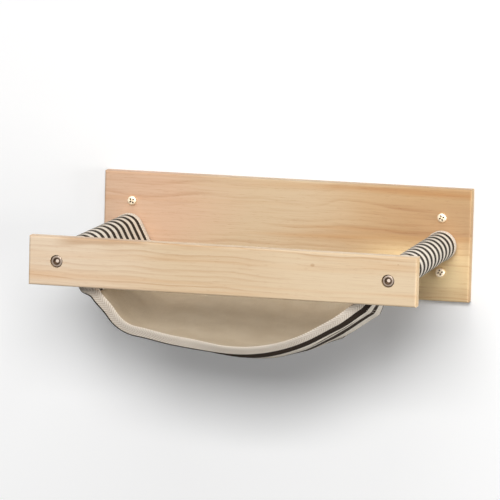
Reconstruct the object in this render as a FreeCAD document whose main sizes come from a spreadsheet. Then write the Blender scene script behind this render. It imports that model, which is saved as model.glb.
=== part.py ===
# Wall mounted hammock bed. A back board and a front bar of solid wood are held apart by two wooden
# dowels, and a canvas sling hangs between the dowels by a sleeve at each end.
# Millimetres. The origin is the middle of the back board's rear face, which lies on the wall.
# X runs along the boards, Z is up, and the front bar lies towards -Y.

import FreeCAD, Part
import math
import os
import Sketcher
from FreeCAD import Placement, Rotation, Vector

doc = FreeCAD.newDocument("WallHammock")

# Driving sizes, in millimetres and degrees

DRIVING_SIZES = (
    ("board_length", 400),        # back board and front bar, end to end
    ("back_height", 120),
    ("back_thick", 15),
    ("bar_height", 50),
    ("bar_thick", 15),
    ("depth", 300),               # wall to the bar's front face
    ("edge_round", 2),            # round-over of both faces of the boards
    ("dowel_dia", 25),
    ("dowel_inset", 29),          # dowel axis to the boards' ends
    ("dowel_chamfer", 0.8),
    ("bolt_dia", 6),
    ("bolt_length", 30),          # below the head
    ("bolt_head_dia", 12),
    ("bolt_head_height", 4),
    ("bolt_head_edge", 0.6),
    ("socket_across", 6),         # hexagon socket, across its flats
    ("socket_depth", 2.8),
    ("bolt_sink", 1.5),           # head's top below the wood's surface
    ("bolt_room", 0.3),           # radial clearance of the bolt's hole
    ("counterbore_room", 0.5),    # radial clearance round the head
    ("insert_dia", 10),
    ("insert_length", 18),
    ("insert_fit", 0.05),         # radial clearance of the insert and of the bolt in it
    ("insert_hole_depth", 27),
    ("screw_dia", 5),             # over the thread
    ("screw_shank_dia", 4.2),     # plain shank between the head and the thread
    ("thread_start", 1),          # thread behind the board's rear face
    ("screw_length", 45),         # below the head, with its point
    ("screw_point", 7),
    ("screw_tip_dia", 0.8),       # flat at the end of the point
    ("screw_head_dia", 10.5),
    ("screw_head_height", 3.2),
    ("screw_head_round", 2.2),    # dome over the head's edge, turned as two bevels
    ("cross_span", 5.4),          # cross recess, tip to tip
    ("cross_width", 1.4),
    ("cross_depth", 1.9),
    ("screw_inset", 31),          # wall screws to the board's ends
    ("screw_rise", 29),           # wall screws above and below the dowels' height
    ("screw_room", 0.25),         # radial clearance of a wall screw's hole
    ("canvas_thick", 1.2),
    ("sling_play", 3),            # free length of dowel at each end of a sleeve
    ("binding_width", 10.5),      # webbing that shows on each face of a bound edge
    ("binding_thick", 0.8),
    ("binding_gap", 0.15),        # between the webbing and the canvas that it folds over
    ("sleeve_room", 0.3),         # radial clearance of a bound sleeve on its dowel
    ("seam_reach", 46.8),         # dowel axis to the end of the sleeve's seam
    ("seam_fall", 45),            # degrees below level, dowel axis to seam
    ("seam_allowance", 5),        # width of the two layers that the seam joins
    ("seam_lead", 4),             # hem that still runs straight on from a seam
    ("seam_lead_round", 15),
    ("left_corner_in", 28),       # left seam to the corner where the hem levels out, along X
    ("left_corner_drop", 70.3),   # that corner below the dowel axes
    ("left_corner_round", 40),
    ("low_corner_in", 93),        # right seam to the hem's lowest corner, along X
    ("low_corner_drop", 89),      # that corner below the dowel axes
    ("low_corner_round", 160),
    ("back_rise", 30),            # hem at the wall above the one at the front, middle of the span
    ("back_rise_length", 110),    # along the hem, from level at a seam to that height
    ("rim_turn_left", 70),        # degrees, steepness of the rims near the left seam
    ("rim_turn_right", 40),       # degrees, the same near the right seam
    ("rim_turn_at_seam", 2),      # degrees
    ("rim_rise_length", 25),      # along the hem, from flat at the seam to its full turn
    ("floor_tilt", 5),            # degrees, bed's floor beside the roll
    ("roll_left", 2.4),           # canvas in the roll between the floor and a rim, left end
    ("roll_right", 32),           # the same, right end
    ("rim_spare_left", 1),        # straight canvas between the binding and the roll, left end
    ("rim_spare_right", 8),       # the same, right end
)

sheet = doc.addObject("Spreadsheet::Sheet", "Sizes")
for row, (alias, number) in enumerate(DRIVING_SIZES, start=1):
    sheet.set("A%d" % row, alias)
    sheet.set("B%d" % row, str(number))
    sheet.setAlias("B%d" % row, alias)
doc.recompute()


class Size:
    """A number together with the sheet's formula that gives it."""

    def __init__(self, number, formula):
        self.number = float(number)
        self.formula = formula

    def _with(self, other, sign, result):
        formula = other.formula if isinstance(other, Size) else str(other)
        return Size(result, "(%s %s %s)" % (self.formula, sign, formula))

    def __add__(self, other):
        return self._with(other, "+", self.number + plain(other))

    def __sub__(self, other):
        return self._with(other, "-", self.number - plain(other))

    def __mul__(self, other):
        return self._with(other, "*", self.number * plain(other))

    def __truediv__(self, other):
        return self._with(other, "/", self.number / plain(other))

    def __neg__(self):
        return Size(-self.number, "(-1 * %s)" % self.formula)


def plain(value):
    """The number of a size, or a plain number as it is."""
    return value.number if isinstance(value, Size) else float(value)


def size(alias):
    return Size(sheet.get(alias), "Sizes." + alias)


def bind(thing, prop, value):
    """Tie a property to a size's formula."""
    thing.setExpression(prop, value.formula)


# Fits and places that several pieces share

board_length = size("board_length")
back_thick = size("back_thick")
bar_thick = size("bar_thick")
depth = size("depth")
dowel_dia = size("dowel_dia")
bolt_dia = size("bolt_dia")
insert_fit = size("insert_fit")
dowel_x = board_length / 2 - size("dowel_inset")
dowel_length = depth - back_thick - bar_thick
bolt_hole_dia = bolt_dia + size("bolt_room") * 2
counterbore_dia = size("bolt_head_dia") + size("counterbore_room") * 2
counterbore_depth = size("bolt_head_height") + size("bolt_sink")
insert_hole_dia = size("insert_dia") + insert_fit * 2
insert_bore_dia = bolt_dia + insert_fit * 2
screw_x = board_length / 2 - size("screw_inset")
screw_rise = size("screw_rise")
screw_hole_dia = size("screw_dia") + size("screw_room") * 2
SIDES = (("left", -1), ("right", 1))

# Ways of sketching and forming that the wooden and metal pieces share


def new_body(label):
    body = doc.addObject("PartDesign::Body", label)
    body.Label = label
    return body


def sketch_on(body, name, role, lift=None):
    """Sketch on one of the body's own planes, raised from it where a lift is given."""
    sketch = body.newObject("Sketcher::SketchObject", name)
    plane = next(item for item in body.Origin.OriginFeatures if item.Role == role)
    sketch.AttachmentSupport = [(plane, "")]
    sketch.MapMode = "FlatFace"
    if lift is not None:
        bind(sketch, "AttachmentOffset.Base.z", lift)
    return sketch


def hold(sketch, kind, refs, value):
    """Dimension in a sketch, tied to a size."""
    index = sketch.addConstraint(Sketcher.Constraint(kind, *refs, value.number))
    name = "%s_%d" % (kind, index)
    sketch.renameConstraint(index, name)
    bind(sketch, "Constraints." + name, value)


def pin_point(sketch, geometry, vertex, x, y):
    """Fix a sketch point by its distances from the origin, or on an axis where one is zero."""
    for kind, value, axis in (("DistanceX", x, -2), ("DistanceY", y, -1)):
        if isinstance(value, Size):
            hold(sketch, kind, (-1, 1, geometry, vertex), value)
        else:
            sketch.addConstraint(Sketcher.Constraint("PointOnObject", geometry, vertex, axis))


def draw_outline(sketch, points):
    """Closed outline of straight lines, every corner fixed."""
    corners = [Vector(plain(x), plain(y), 0) for x, y in points]
    count = len(corners)
    for i in range(count):
        sketch.addGeometry(Part.LineSegment(corners[i], corners[(i + 1) % count]), False)
    for i in range(count):
        sketch.addConstraint(Sketcher.Constraint("Coincident", i, 2, (i + 1) % count, 1))
    for i, (x, y) in enumerate(points):
        pin_point(sketch, i, 1, x, y)


def draw_circle(sketch, x, y, diameter):
    centre = Vector(plain(x), plain(y), 0)
    index = sketch.addGeometry(Part.Circle(centre, Vector(0, 0, 1), diameter.number / 2), False)
    pin_point(sketch, index, 3, x, y)
    hold(sketch, "Diameter", (index,), diameter)


def draw_rectangle(sketch, width, height):
    right, top = width / 2, height / 2
    draw_outline(sketch, ((-right, -top), (right, -top), (right, top), (-right, top)))


def draw_hexagon(sketch, across):
    """Hexagon about the sketch's origin with two of its sides upright."""
    flat = across / 2
    half_side = across / (2 * math.sqrt(3))
    tip = half_side * 2
    draw_outline(sketch, ((flat, -half_side), (flat, half_side), (0, tip),
                          (-flat, half_side), (-flat, -half_side), (0, -tip)))


def pad(body, name, sketch, length):
    feature = body.newObject("PartDesign::Pad", name)
    feature.Profile = sketch
    bind(feature, "Length", length)
    doc.recompute()
    return feature


def pocket(body, name, sketch, length, reverse=False):
    before = body.Shape.Volume
    feature = body.newObject("PartDesign::Pocket", name)
    feature.Profile = sketch
    feature.Reversed = reverse
    bind(feature, "Length", length)
    doc.recompute()
    assert body.Shape.Volume < before, body.Label + ": " + name + " cuts nothing"
    return feature


def revolve(body, name, sketch):
    """Solid of revolution about the sketch's upright axis."""
    feature = body.newObject("PartDesign::Revolution", name)
    feature.Profile = sketch
    feature.ReferenceAxis = (sketch, ["V_Axis"])
    feature.Angle = 360
    doc.recompute()
    return feature


def edge_names(shape, wanted):
    return ["Edge%d" % i for i, edge in enumerate(shape.Edges, start=1) if wanted(edge)]


def is_circle(edge):
    return isinstance(edge.Curve, Part.Circle)


def is_on_face(edge):
    """True for an edge of a board's front or back face, which lies square to Y."""
    return edge.BoundBox.YLength < edge.Length / 2


# Boards: planed solid wood, both faces rounded over. The bolts are sunk in counterbores on the far
# side from the dowels, and the back board has four more holes for the wall screws.


def make_board(label, height, thick, bore_from_back):
    body = new_body(label)
    outline = sketch_on(body, label + "_outline", "XZ_Plane")
    draw_rectangle(outline, board_length, height)
    blank = pad(body, label + "_blank", outline, thick)
    rounding = body.newObject("PartDesign::Fillet", label + "_edges")
    rounding.Base = (blank, edge_names(blank.Shape, is_on_face))
    bind(rounding, "Radius", size("edge_round"))
    doc.recompute()
    lift = None if bore_from_back else thick
    for step, diameter, reach in (("bolt_holes", bolt_hole_dia, thick),
                                  ("counterbores", counterbore_dia, counterbore_depth)):
        circles = sketch_on(body, label + "_" + step + "_sketch", "XZ_Plane", lift)
        for _, side in SIDES:
            draw_circle(circles, dowel_x * side, 0, diameter)
        pocket(body, label + "_" + step, circles, reach, reverse=bore_from_back)
    return body


back_board = make_board("back_board", size("back_height"), back_thick, bore_from_back=True)
screw_circles = sketch_on(back_board, "back_board_screw_sketch", "XZ_Plane")
for _, side in SIDES:
    for rise in (screw_rise, -screw_rise):
        draw_circle(screw_circles, screw_x * side, rise, screw_hole_dia)
pocket(back_board, "back_board_screw_holes", screw_circles, back_thick, reverse=True)

front_bar = make_board("front_bar", size("bar_height"), bar_thick, bore_from_back=False)
bind(front_bar, "Placement.Base.y", bar_thick - depth)

# Dowels: turned wood with chamfered ends, drilled at both ends for a threaded insert.


def make_dowel(label, side):
    body = new_body(label)
    circle = sketch_on(body, label + "_circle", "XZ_Plane")
    draw_circle(circle, 0, 0, dowel_dia)
    rod = pad(body, label + "_rod", circle, dowel_length)
    chamfer = body.newObject("PartDesign::Chamfer", label + "_ends")
    chamfer.Base = (rod, edge_names(rod.Shape, is_circle))
    bind(chamfer, "Size", size("dowel_chamfer"))
    doc.recompute()
    for end, lift, reverse in (("wall_end", None, True), ("front_end", dowel_length, False)):
        drill = sketch_on(body, label + "_" + end + "_sketch", "XZ_Plane", lift)
        draw_circle(drill, 0, 0, insert_hole_dia)
        pocket(body, label + "_" + end, drill, size("insert_hole_depth"), reverse)
    bind(body, "Placement.Base.x", dowel_x * side)
    bind(body, "Placement.Base.y", -back_thick)
    return body


dowels = [make_dowel(name + "_dowel", side) for name, side in SIDES]

# Metal pieces are turned about the sketch's upright axis and then laid along Y. The ends that
# belong to the front bar point one way and those that belong to the back board the other.

FROM_FRONT = Rotation(Vector(1, 0, 0), 90)     # sketch's up is towards -Y
FROM_WALL = Rotation(Vector(1, 0, 0), -90)     # sketch's up is towards +Y


def lay(body, rotation, x, y, z):
    body.Placement = Placement(Vector(0, 0, 0), rotation)
    for axis, value in (("x", x), ("y", y), ("z", z)):
        if isinstance(value, Size):
            bind(body, "Placement.Base." + axis, value)


def group(label, bodies):
    together = doc.addObject("Part::Compound", label)
    together.Label = label
    together.Links = bodies
    return together


# Bolts: steel, low cylinder head with a hexagon socket. The head's seat is at the sketch's origin.


def make_bolt(label):
    body = new_body(label)
    profile = sketch_on(body, label + "_profile", "XZ_Plane")
    shank, head = bolt_dia / 2, size("bolt_head_dia") / 2
    top, edge = size("bolt_head_height"), size("bolt_head_edge")
    tip = -size("bolt_length")
    draw_outline(profile, ((0, tip), (shank - edge, tip), (shank, tip + edge), (shank, 0), (head, 0),
                           (head, top - edge), (head - edge, top), (0, top)))
    revolve(body, label + "_turned", profile)
    socket = sketch_on(body, label + "_socket_sketch", "XY_Plane", top)
    draw_hexagon(socket, size("socket_across"))
    pocket(body, label + "_socket", socket, size("socket_depth"))
    return body


def place_bolts(where, rotation, seat_y):
    bodies = []
    for name, side in SIDES:
        bolt = make_bolt("%s_%s_bolt" % (where, name))
        lay(bolt, rotation, dowel_x * side, seat_y, 0)
        bodies.append(bolt)
    return group(where + "_bolts", bodies)


front_bolts = place_bolts("front", FROM_FRONT, counterbore_depth - depth)
rear_bolts = place_bolts("rear", FROM_WALL, -counterbore_depth)

# Threaded inserts: zinc alloy nuts, flush with the dowels' ends, that take the bolts.


def make_insert(label):
    body = new_body(label)
    profile = sketch_on(body, label + "_profile", "XZ_Plane")
    inner, outer = insert_bore_dia / 2, size("insert_dia") / 2
    low = -size("insert_length")
    draw_outline(profile, ((inner, low), (outer, low), (outer, 0), (inner, 0)))
    revolve(body, label + "_turned", profile)
    return body


inserts = []
for name, side in SIDES:
    ends = []
    for end, rotation, face_y in (("front", FROM_FRONT, bar_thick - depth),
                                  ("rear", FROM_WALL, -back_thick)):
        nut = make_insert("%s_%s_insert" % (name, end))
        lay(nut, rotation, dowel_x * side, face_y, 0)
        ends.append(nut)
    inserts.append(group(name + "_inserts", ends))

# Wall screws: steel, domed head with a cross recess, two at each end of the back board. The thread
# is drawn as a plain cylinder over its crests.


def make_screw(label):
    body = new_body(label)
    profile = sketch_on(body, label + "_profile", "XZ_Plane")
    thread, shank = size("screw_dia") / 2, size("screw_shank_dia") / 2
    head, top = size("screw_head_dia") / 2, size("screw_head_height")
    tip, tip_flat = -size("screw_length"), size("screw_tip_dia") / 2
    point, start = tip + size("screw_point"), -back_thick - size("thread_start")
    dome = size("screw_head_round")
    bevel = dome * (1 - math.sqrt(0.5))
    draw_outline(profile, ((0, tip), (tip_flat, tip), (thread, point), (thread, start), (shank, start),
                           (shank, 0), (head, 0), (head, top - dome), (head - bevel, top - bevel),
                           (head - dome, top), (0, top)))
    revolve(body, label + "_turned", profile)
    cross = sketch_on(body, label + "_cross_sketch", "XY_Plane", top)
    reach, arm = size("cross_span") / 2, size("cross_width") / 2
    quarter = ((reach, -arm), (reach, arm), (arm, arm))
    draw_outline(cross, [turn_quarters(point, turns) for turns in range(4) for point in quarter])
    pocket(body, label + "_cross", cross, size("cross_depth"))
    return body


def turn_quarters(point, turns):
    """A sketch point turned about the origin by quarter turns."""
    x, y = point
    for _ in range(turns):
        x, y = -y, x
    return x, y


screws = []
for name, side in SIDES:
    for level, rise in (("upper", screw_rise), ("lower", -screw_rise)):
        screw = make_screw("%s_%s_screw" % (level, name))
        lay(screw, FROM_FRONT, screw_x * side, -back_thick, rise)
        screws.append(screw)
wall_screws = group("wall_screws", screws)

# Sling: striped canvas that hangs between the dowels. Each end of the canvas turns round a dowel
# and is sewn back to itself, which makes a sleeve, and webbing is folded over the front and back
# edges. The bed's hem turns up where the bed sags, so the bed is a shallow bag open at the top.
# These soft pieces are drawn about the middle of the dowels' length and then moved there.

canvas = size("canvas_thick").number
tape = size("binding_thick").number
tape_gap = size("binding_gap").number
tape_width = size("binding_width").number
tape_reach = tape_gap + tape
sleeve_bore = dowel_dia.number / 2 + size("sleeve_room").number + tape_reach
sling_half = dowel_length.number / 2 - size("sling_play").number - tape_reach
seam_reach = size("seam_reach").number
seam_fall = math.radians(size("seam_fall").number)
seam_start = seam_reach - size("seam_allowance").number
STATIONS = 25                     # cross sections along the hem, closer together near the seams


def soft_piece(label, shape):
    piece = doc.addObject("Part::Feature", label)
    piece.Label = label
    piece.Shape = shape
    piece.Placement.Base = Vector(0, -(back_thick + dowel_length / 2).number, 0)
    return piece


def line(start, end):
    return Part.LineSegment(start, end).toShape()


def arc(start, middle, end):
    return Part.Arc(start, middle, end).toShape()


def polygon(points):
    return Part.makePolygon(list(points) + [points[0]])


def ruled_loft(wires):
    return Part.makeLoft(wires, True, True)


# Sleeves: a loop of canvas round the dowel whose two layers meet at the seam.


def along_seam(side, along, across):
    """Point along the line from a dowel's axis to its seam, and across that line."""
    direction = Vector(-side * math.cos(seam_fall), 0, -math.sin(seam_fall))
    square = Vector(-direction.z, 0, direction.x)
    return Vector(side * dowel_x.number, 0, 0) + direction * along + square * across


def sleeve_loop(side, radius, knee, half_tail):
    """Closed loop: an arc round the dowel, two lines to the knee, and a flat tail if it has one."""
    touch = math.atan2(half_tail, knee) + math.acos(radius / math.hypot(knee, half_tail))

    def round_dowel(angle):
        return along_seam(side, radius * math.cos(angle), radius * math.sin(angle))

    far, quarter = math.pi, (touch + math.pi) / 2
    edges = [arc(round_dowel(touch), round_dowel(quarter), round_dowel(far)),
             arc(round_dowel(far), round_dowel(-quarter), round_dowel(-touch))]
    corners = [round_dowel(-touch), along_seam(side, knee, -half_tail)]
    if half_tail:
        corners += [along_seam(side, seam_reach, -half_tail), along_seam(side, seam_reach, half_tail),
                    along_seam(side, knee, half_tail)]
    corners.append(round_dowel(touch))
    edges += [line(a, b) for a, b in zip(corners, corners[1:])]
    return Part.Wire(edges)


def sleeve_tube(side, outward, inward, low_y, high_y):
    """Tube between two loops that stand clear of the canvas's outer and inner faces."""
    bore = sleeve_bore - inward
    outer = sleeve_loop(side, sleeve_bore + canvas + outward, seam_start, canvas + outward)
    inner = sleeve_loop(side, bore, seam_start * bore / sleeve_bore, 0)
    ring = Part.makeFace([outer, inner], "Part::FaceMakerBullseye")
    ring.translate(Vector(0, low_y, 0))
    return ring.extrude(Vector(0, high_y - low_y, 0))


def sleeve_edge_tape(side, end):
    """Webbing folded over one end of a sleeve, end being -1 at the front and 1 at the wall."""
    def span(near, far):
        return sorted((end * (sling_half - near), end * (sling_half + far)))

    folded = sleeve_tube(side, tape_reach, tape_reach, *span(tape_width, tape_reach))
    room = sleeve_tube(side, tape_gap, tape_gap, *span(2 * tape_width, tape_gap))
    return folded.cut(room)


sleeves = []
for name, side in SIDES:
    sleeves.append(soft_piece(name + "_sleeve", sleeve_tube(side, 0, 0, -sling_half, sling_half)))

# Bed: the hem's line falls from the left seam, runs nearly level and climbs to the right seam. The
# wall side hangs higher than the front, so the bag leans forward.


def rounded_path(corners, radii):
    """Edges of a path through the corners, the inner ones rounded by tangent arcs."""
    edges = []
    start = corners[0]
    for before, corner, after, radius in zip(corners, corners[1:], corners[2:], radii):
        towards, away = (before - corner).normalize(), (after - corner).normalize()
        half_angle = towards.getAngle(away) / 2
        tangent = radius / math.tan(half_angle)
        bisector = (towards + away).normalize()
        middle = corner + bisector * (radius / math.sin(half_angle) - radius)
        leave = corner + towards * tangent
        join = corner + away * tangent
        edges += [line(start, leave), arc(leave, middle, join)]
        start = join
    edges.append(line(start, corners[-1]))
    return edges


seam_ends = [along_seam(side, seam_reach, 0) for _, side in SIDES]
seam_leads = [along_seam(side, seam_reach + size("seam_lead").number, 0) for _, side in SIDES]
left_corner = Vector(seam_ends[0].x + size("left_corner_in").number, 0, -size("left_corner_drop").number)
low_corner = Vector(seam_ends[1].x - size("low_corner_in").number, 0, -size("low_corner_drop").number)
lead_round = size("seam_lead_round").number
hem_line = rounded_path(
    [seam_ends[0], seam_leads[0], left_corner, low_corner, seam_leads[1], seam_ends[1]],
    [lead_round, size("left_corner_round").number, size("low_corner_round").number, lead_round])
hem_length = sum(edge.Length for edge in hem_line)


def on_hem(distance):
    """Point of the hem's line and its upward normal, a distance from the left seam."""
    for edge in hem_line:
        if distance <= edge.Length or edge is hem_line[-1]:
            parameter = edge.getParameterByLength(min(distance, edge.Length))
            tangent = edge.tangentAt(parameter)
            return edge.valueAt(parameter), Vector(-tangent.z, 0, tangent.x)
        distance -= edge.Length


def grown(distance, length):
    """Share of a swell that is reached at a distance from the nearer seam."""
    from_seam = min(distance, hem_length - distance)
    return math.sin(math.pi / 2 * min(1, from_seam / length)) ** 2


def between_seams(name, share):
    """Size that changes from the left seam to the right one."""
    left, right = size(name + "_left").number, size(name + "_right").number
    return left + (right - left) * share


class BedSection:
    """Cross section of the bed: a shallow floor, a roll at each side and a steep rim.

    Its spots are given across from the middle and in height, on the bed's inner face or a distance
    outward from it. The whole section leans up towards the wall.
    """

    def __init__(self, distance):
        self.point, self.up = on_hem(distance)
        share = distance / hem_length
        full_turn = math.radians(between_seams("rim_turn", share))
        seam_turn = math.radians(size("rim_turn_at_seam").number)
        self.turn = seam_turn + (full_turn - seam_turn) * grown(distance, size("rim_rise_length").number)
        self.tilt = math.radians(size("floor_tilt").number) * self.turn / full_turn
        roll_length = between_seams("roll", share ** 2)
        self.roll = roll_length / (self.turn - self.tilt)
        self.rim = tape_width + between_seams("rim_spare", share)
        self.floor = (sling_half - roll_length - self.rim) / self.tilt
        self.hem_across, self.hem_height = self.on_rim(self.rim - tape_width / 2, canvas / 2)
        back_rise = size("back_rise").number * grown(distance, size("back_rise_length").number)
        self.lean = back_rise / (2 * self.hem_across)

    def on_floor(self, angle, outward):
        radius = self.floor + outward
        return radius * math.sin(angle), self.floor - radius * math.cos(angle)

    def on_roll(self, angle, outward):
        centre = self.floor - self.roll
        radius = self.roll + outward
        return (centre * math.sin(self.tilt) + radius * math.sin(angle),
                self.floor - centre * math.cos(self.tilt) - radius * math.cos(angle))

    def on_rim(self, along, outward):
        across, height = self.on_roll(self.turn, outward)
        return across + along * math.cos(self.turn), height + along * math.sin(self.turn)

    def place(self, half, spot):
        """Spot in space, half being -1 towards the front and 1 towards the wall."""
        across, height = half * spot[0], spot[1] - self.hem_height
        return self.point + self.up * (height + self.lean * (across + self.hem_across)) + Vector(0, across, 0)

    def face_edges(self, outward):
        """Edges of one face, from the front rim's edge to the one at the wall."""
        middle = (self.tilt + self.turn) / 2
        spots = (self.on_rim(self.rim, outward), self.on_rim(0, outward),
                 self.on_roll(middle, outward), self.on_floor(self.tilt, outward))
        front, back = [[self.place(half, spot) for spot in spots] for half in (-1, 1)]
        lowest = self.place(1, self.on_floor(0, outward))
        return [line(front[0], front[1]), arc(*front[1:]), arc(front[3], lowest, back[3]),
                arc(*reversed(back[1:])), line(back[1], back[0])]

    def canvas_wire(self):
        edge_faces = [[self.place(half, self.on_rim(self.rim, outward)) for outward in (0, canvas)]
                      for half in (-1, 1)]
        front_edge, back_edge = [line(*faces) for faces in edge_faces]
        outer, inner = self.face_edges(canvas), self.face_edges(0)
        return Part.Wire(outer + [back_edge] + inner[::-1] + [front_edge])

    def tape_wire(self, half):
        """Webbing folded over the rim's edge."""
        start, stop = self.rim - tape_width, self.rim
        spots = ((start, -tape_reach), (stop + tape_reach, -tape_reach),
                 (stop + tape_reach, canvas + tape_reach), (start, canvas + tape_reach),
                 (start, canvas + tape_gap), (stop + tape_gap, canvas + tape_gap),
                 (stop + tape_gap, -tape_gap), (start, -tape_gap))
        return polygon([self.place(half, self.on_rim(*spot)) for spot in spots])


def station(number):
    """Distance along the hem of a cross section."""
    share = number / (STATIONS - 1)
    return hem_length * (0.5 * share + 0.25 * (1 - math.cos(math.pi * share)))


sections = [BedSection(station(i)) for i in range(STATIONS)]
sling_bed = soft_piece("sling_bed", ruled_loft([item.canvas_wire() for item in sections]))
bindings = []
for name, end in (("front_binding", -1), ("back_binding", 1)):
    hem_tape = ruled_loft([item.tape_wire(end) for item in sections])
    sleeve_tapes = [sleeve_edge_tape(side, end) for _, side in SIDES]
    bindings.append(soft_piece(name, Part.makeCompound([hem_tape] + sleeve_tapes)))

# Every piece is checked before any is written.

doc.recompute()
for item in doc.Objects:
    assert not {"Invalid", "Error"} & set(item.State), item.Label + ": " + str(item.State)
nodes = [back_board, front_bar, *dowels, front_bolts, rear_bolts, *inserts, wall_screws,
         sling_bed, *sleeves, *bindings]
for node in nodes:
    assert not node.Shape.isNull() and node.Shape.isValid(), node.Label + ": shape is not valid"
    assert node.Shape.Volume > 0, node.Label + ": shape is inside out"
os.makedirs("parts", exist_ok=True)
for node in nodes:
    node.Shape.exportStep(os.path.join("parts", node.Label + ".step"))
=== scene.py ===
import math

import bpy
from mathutils import Matrix, Vector, noise


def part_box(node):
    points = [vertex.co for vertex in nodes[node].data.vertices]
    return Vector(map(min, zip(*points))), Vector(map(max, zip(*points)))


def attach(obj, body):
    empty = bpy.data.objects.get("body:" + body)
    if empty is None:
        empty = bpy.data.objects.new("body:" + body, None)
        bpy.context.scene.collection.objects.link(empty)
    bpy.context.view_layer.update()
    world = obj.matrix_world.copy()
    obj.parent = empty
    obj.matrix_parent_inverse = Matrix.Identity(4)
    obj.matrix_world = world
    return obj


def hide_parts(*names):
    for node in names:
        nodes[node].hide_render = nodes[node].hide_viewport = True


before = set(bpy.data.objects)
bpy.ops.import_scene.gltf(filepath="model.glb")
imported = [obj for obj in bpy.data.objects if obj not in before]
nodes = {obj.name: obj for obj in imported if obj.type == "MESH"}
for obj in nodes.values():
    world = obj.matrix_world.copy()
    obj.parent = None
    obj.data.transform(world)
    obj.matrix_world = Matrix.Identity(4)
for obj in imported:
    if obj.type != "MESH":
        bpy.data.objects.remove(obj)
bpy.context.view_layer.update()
bpy.ops.object.select_all(action="DESELECT")

# Back board: a planed hardwood plank, rounded over along both faces and bored for two bolts and four
# wall screws. The finish is a thin clear oil, so the year rings and the warmer streaks show.


class Shade:
    """A shader socket that takes part in sums and comparisons, each of which adds a Math node."""

    def __init__(self, tree, socket=None):
        self.tree = tree
        self.socket = socket

    def node(self, kind, settings, feeds, output=0):
        """Add a node, set it up, feed its sockets with values or links, and give one output."""
        made = self.tree.nodes.new(kind)
        for name, value in settings.items():
            setattr(made, name, value)
        for name, value in feeds.items():
            if isinstance(value, Shade):
                self.tree.links.new(value.socket, made.inputs[name])
            else:
                made.inputs[name].default_value = value
        return Shade(self.tree, made.outputs[output])

    def math(self, operation, *values):
        return self.node("ShaderNodeMath", {"operation": operation}, dict(enumerate(values)))

    def __add__(self, other):
        return self.math("ADD", self, other)

    __radd__ = __add__

    def __sub__(self, other):
        return self.math("SUBTRACT", self, other)

    def __rsub__(self, other):
        return self.math("SUBTRACT", other, self)

    def __mul__(self, other):
        return self.math("MULTIPLY", self, other)

    def __truediv__(self, other):
        return self.math("DIVIDE", self, other)

    def __pow__(self, other):
        return self.math("POWER", self, other)

    def __mod__(self, other):
        return self.math("FLOORED_MODULO", self, other)

    def __lt__(self, other):
        return self.math("LESS_THAN", self, other)

    def __abs__(self):
        return self.math("ABSOLUTE", self)

    def axis(self, number):
        return self.node("ShaderNodeSeparateXYZ", {}, {"Vector": self}, number)

    def rise(self, low, high):
        """0 below low, 1 above high and a smooth step between."""
        return self.node("ShaderNodeMapRange", {"interpolation_type": "SMOOTHSTEP"},
                         {"Value": self, "From Min": low, "From Max": high})

    def vector(self, operation, *values):
        return self.node("ShaderNodeVectorMath", {"operation": operation}, dict(enumerate(values)))

    def speckle(self, scale, detail=2, output="Fac"):
        """Noise, its scale given along each axis in cycles a metre."""
        return self.node("ShaderNodeTexNoise", {}, {
            "Vector": self.vector("MULTIPLY", self, scale), "Scale": 1, "Detail": detail}, output)

    def blend(self, first, second, kind="MIX"):
        """Colour between two others, or darkened by the second, this socket being the share."""
        return self.node("ShaderNodeMix", {"data_type": "RGBA", "blend_type": kind},
                         {0: self, 6: first, 7: second}, 2)

    def to(self, shader, socket):
        self.tree.links.new(self.socket, shader.inputs[socket])


def tone(red, green, blue):
    """Linear colour of a tone given in screen values."""
    return tuple(((value / 255 + 0.055) / 1.055) ** 2.4 for value in (red, green, blue)) + (1,)


def new_finish(name, constants):
    """A material, its shader with some constants set, and the piece's own coordinates."""
    material = bpy.data.materials.new(name)
    material.use_nodes = True
    shader = material.node_tree.nodes["Principled BSDF"]
    for socket, value in constants.items():
        shader.inputs[socket].default_value = value
    place = Shade(material.node_tree).node("ShaderNodeTexCoord", {}, {}, "Object")
    return material, shader, place


def raised(height, distance, shader, strength=1):
    """Feed a relief, in shares of a distance in metres, to the shader's normal."""
    height.node("ShaderNodeBump", {}, {"Height": height, "Strength": strength, "Distance": distance}
                ).to(shader, "Normal")


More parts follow.
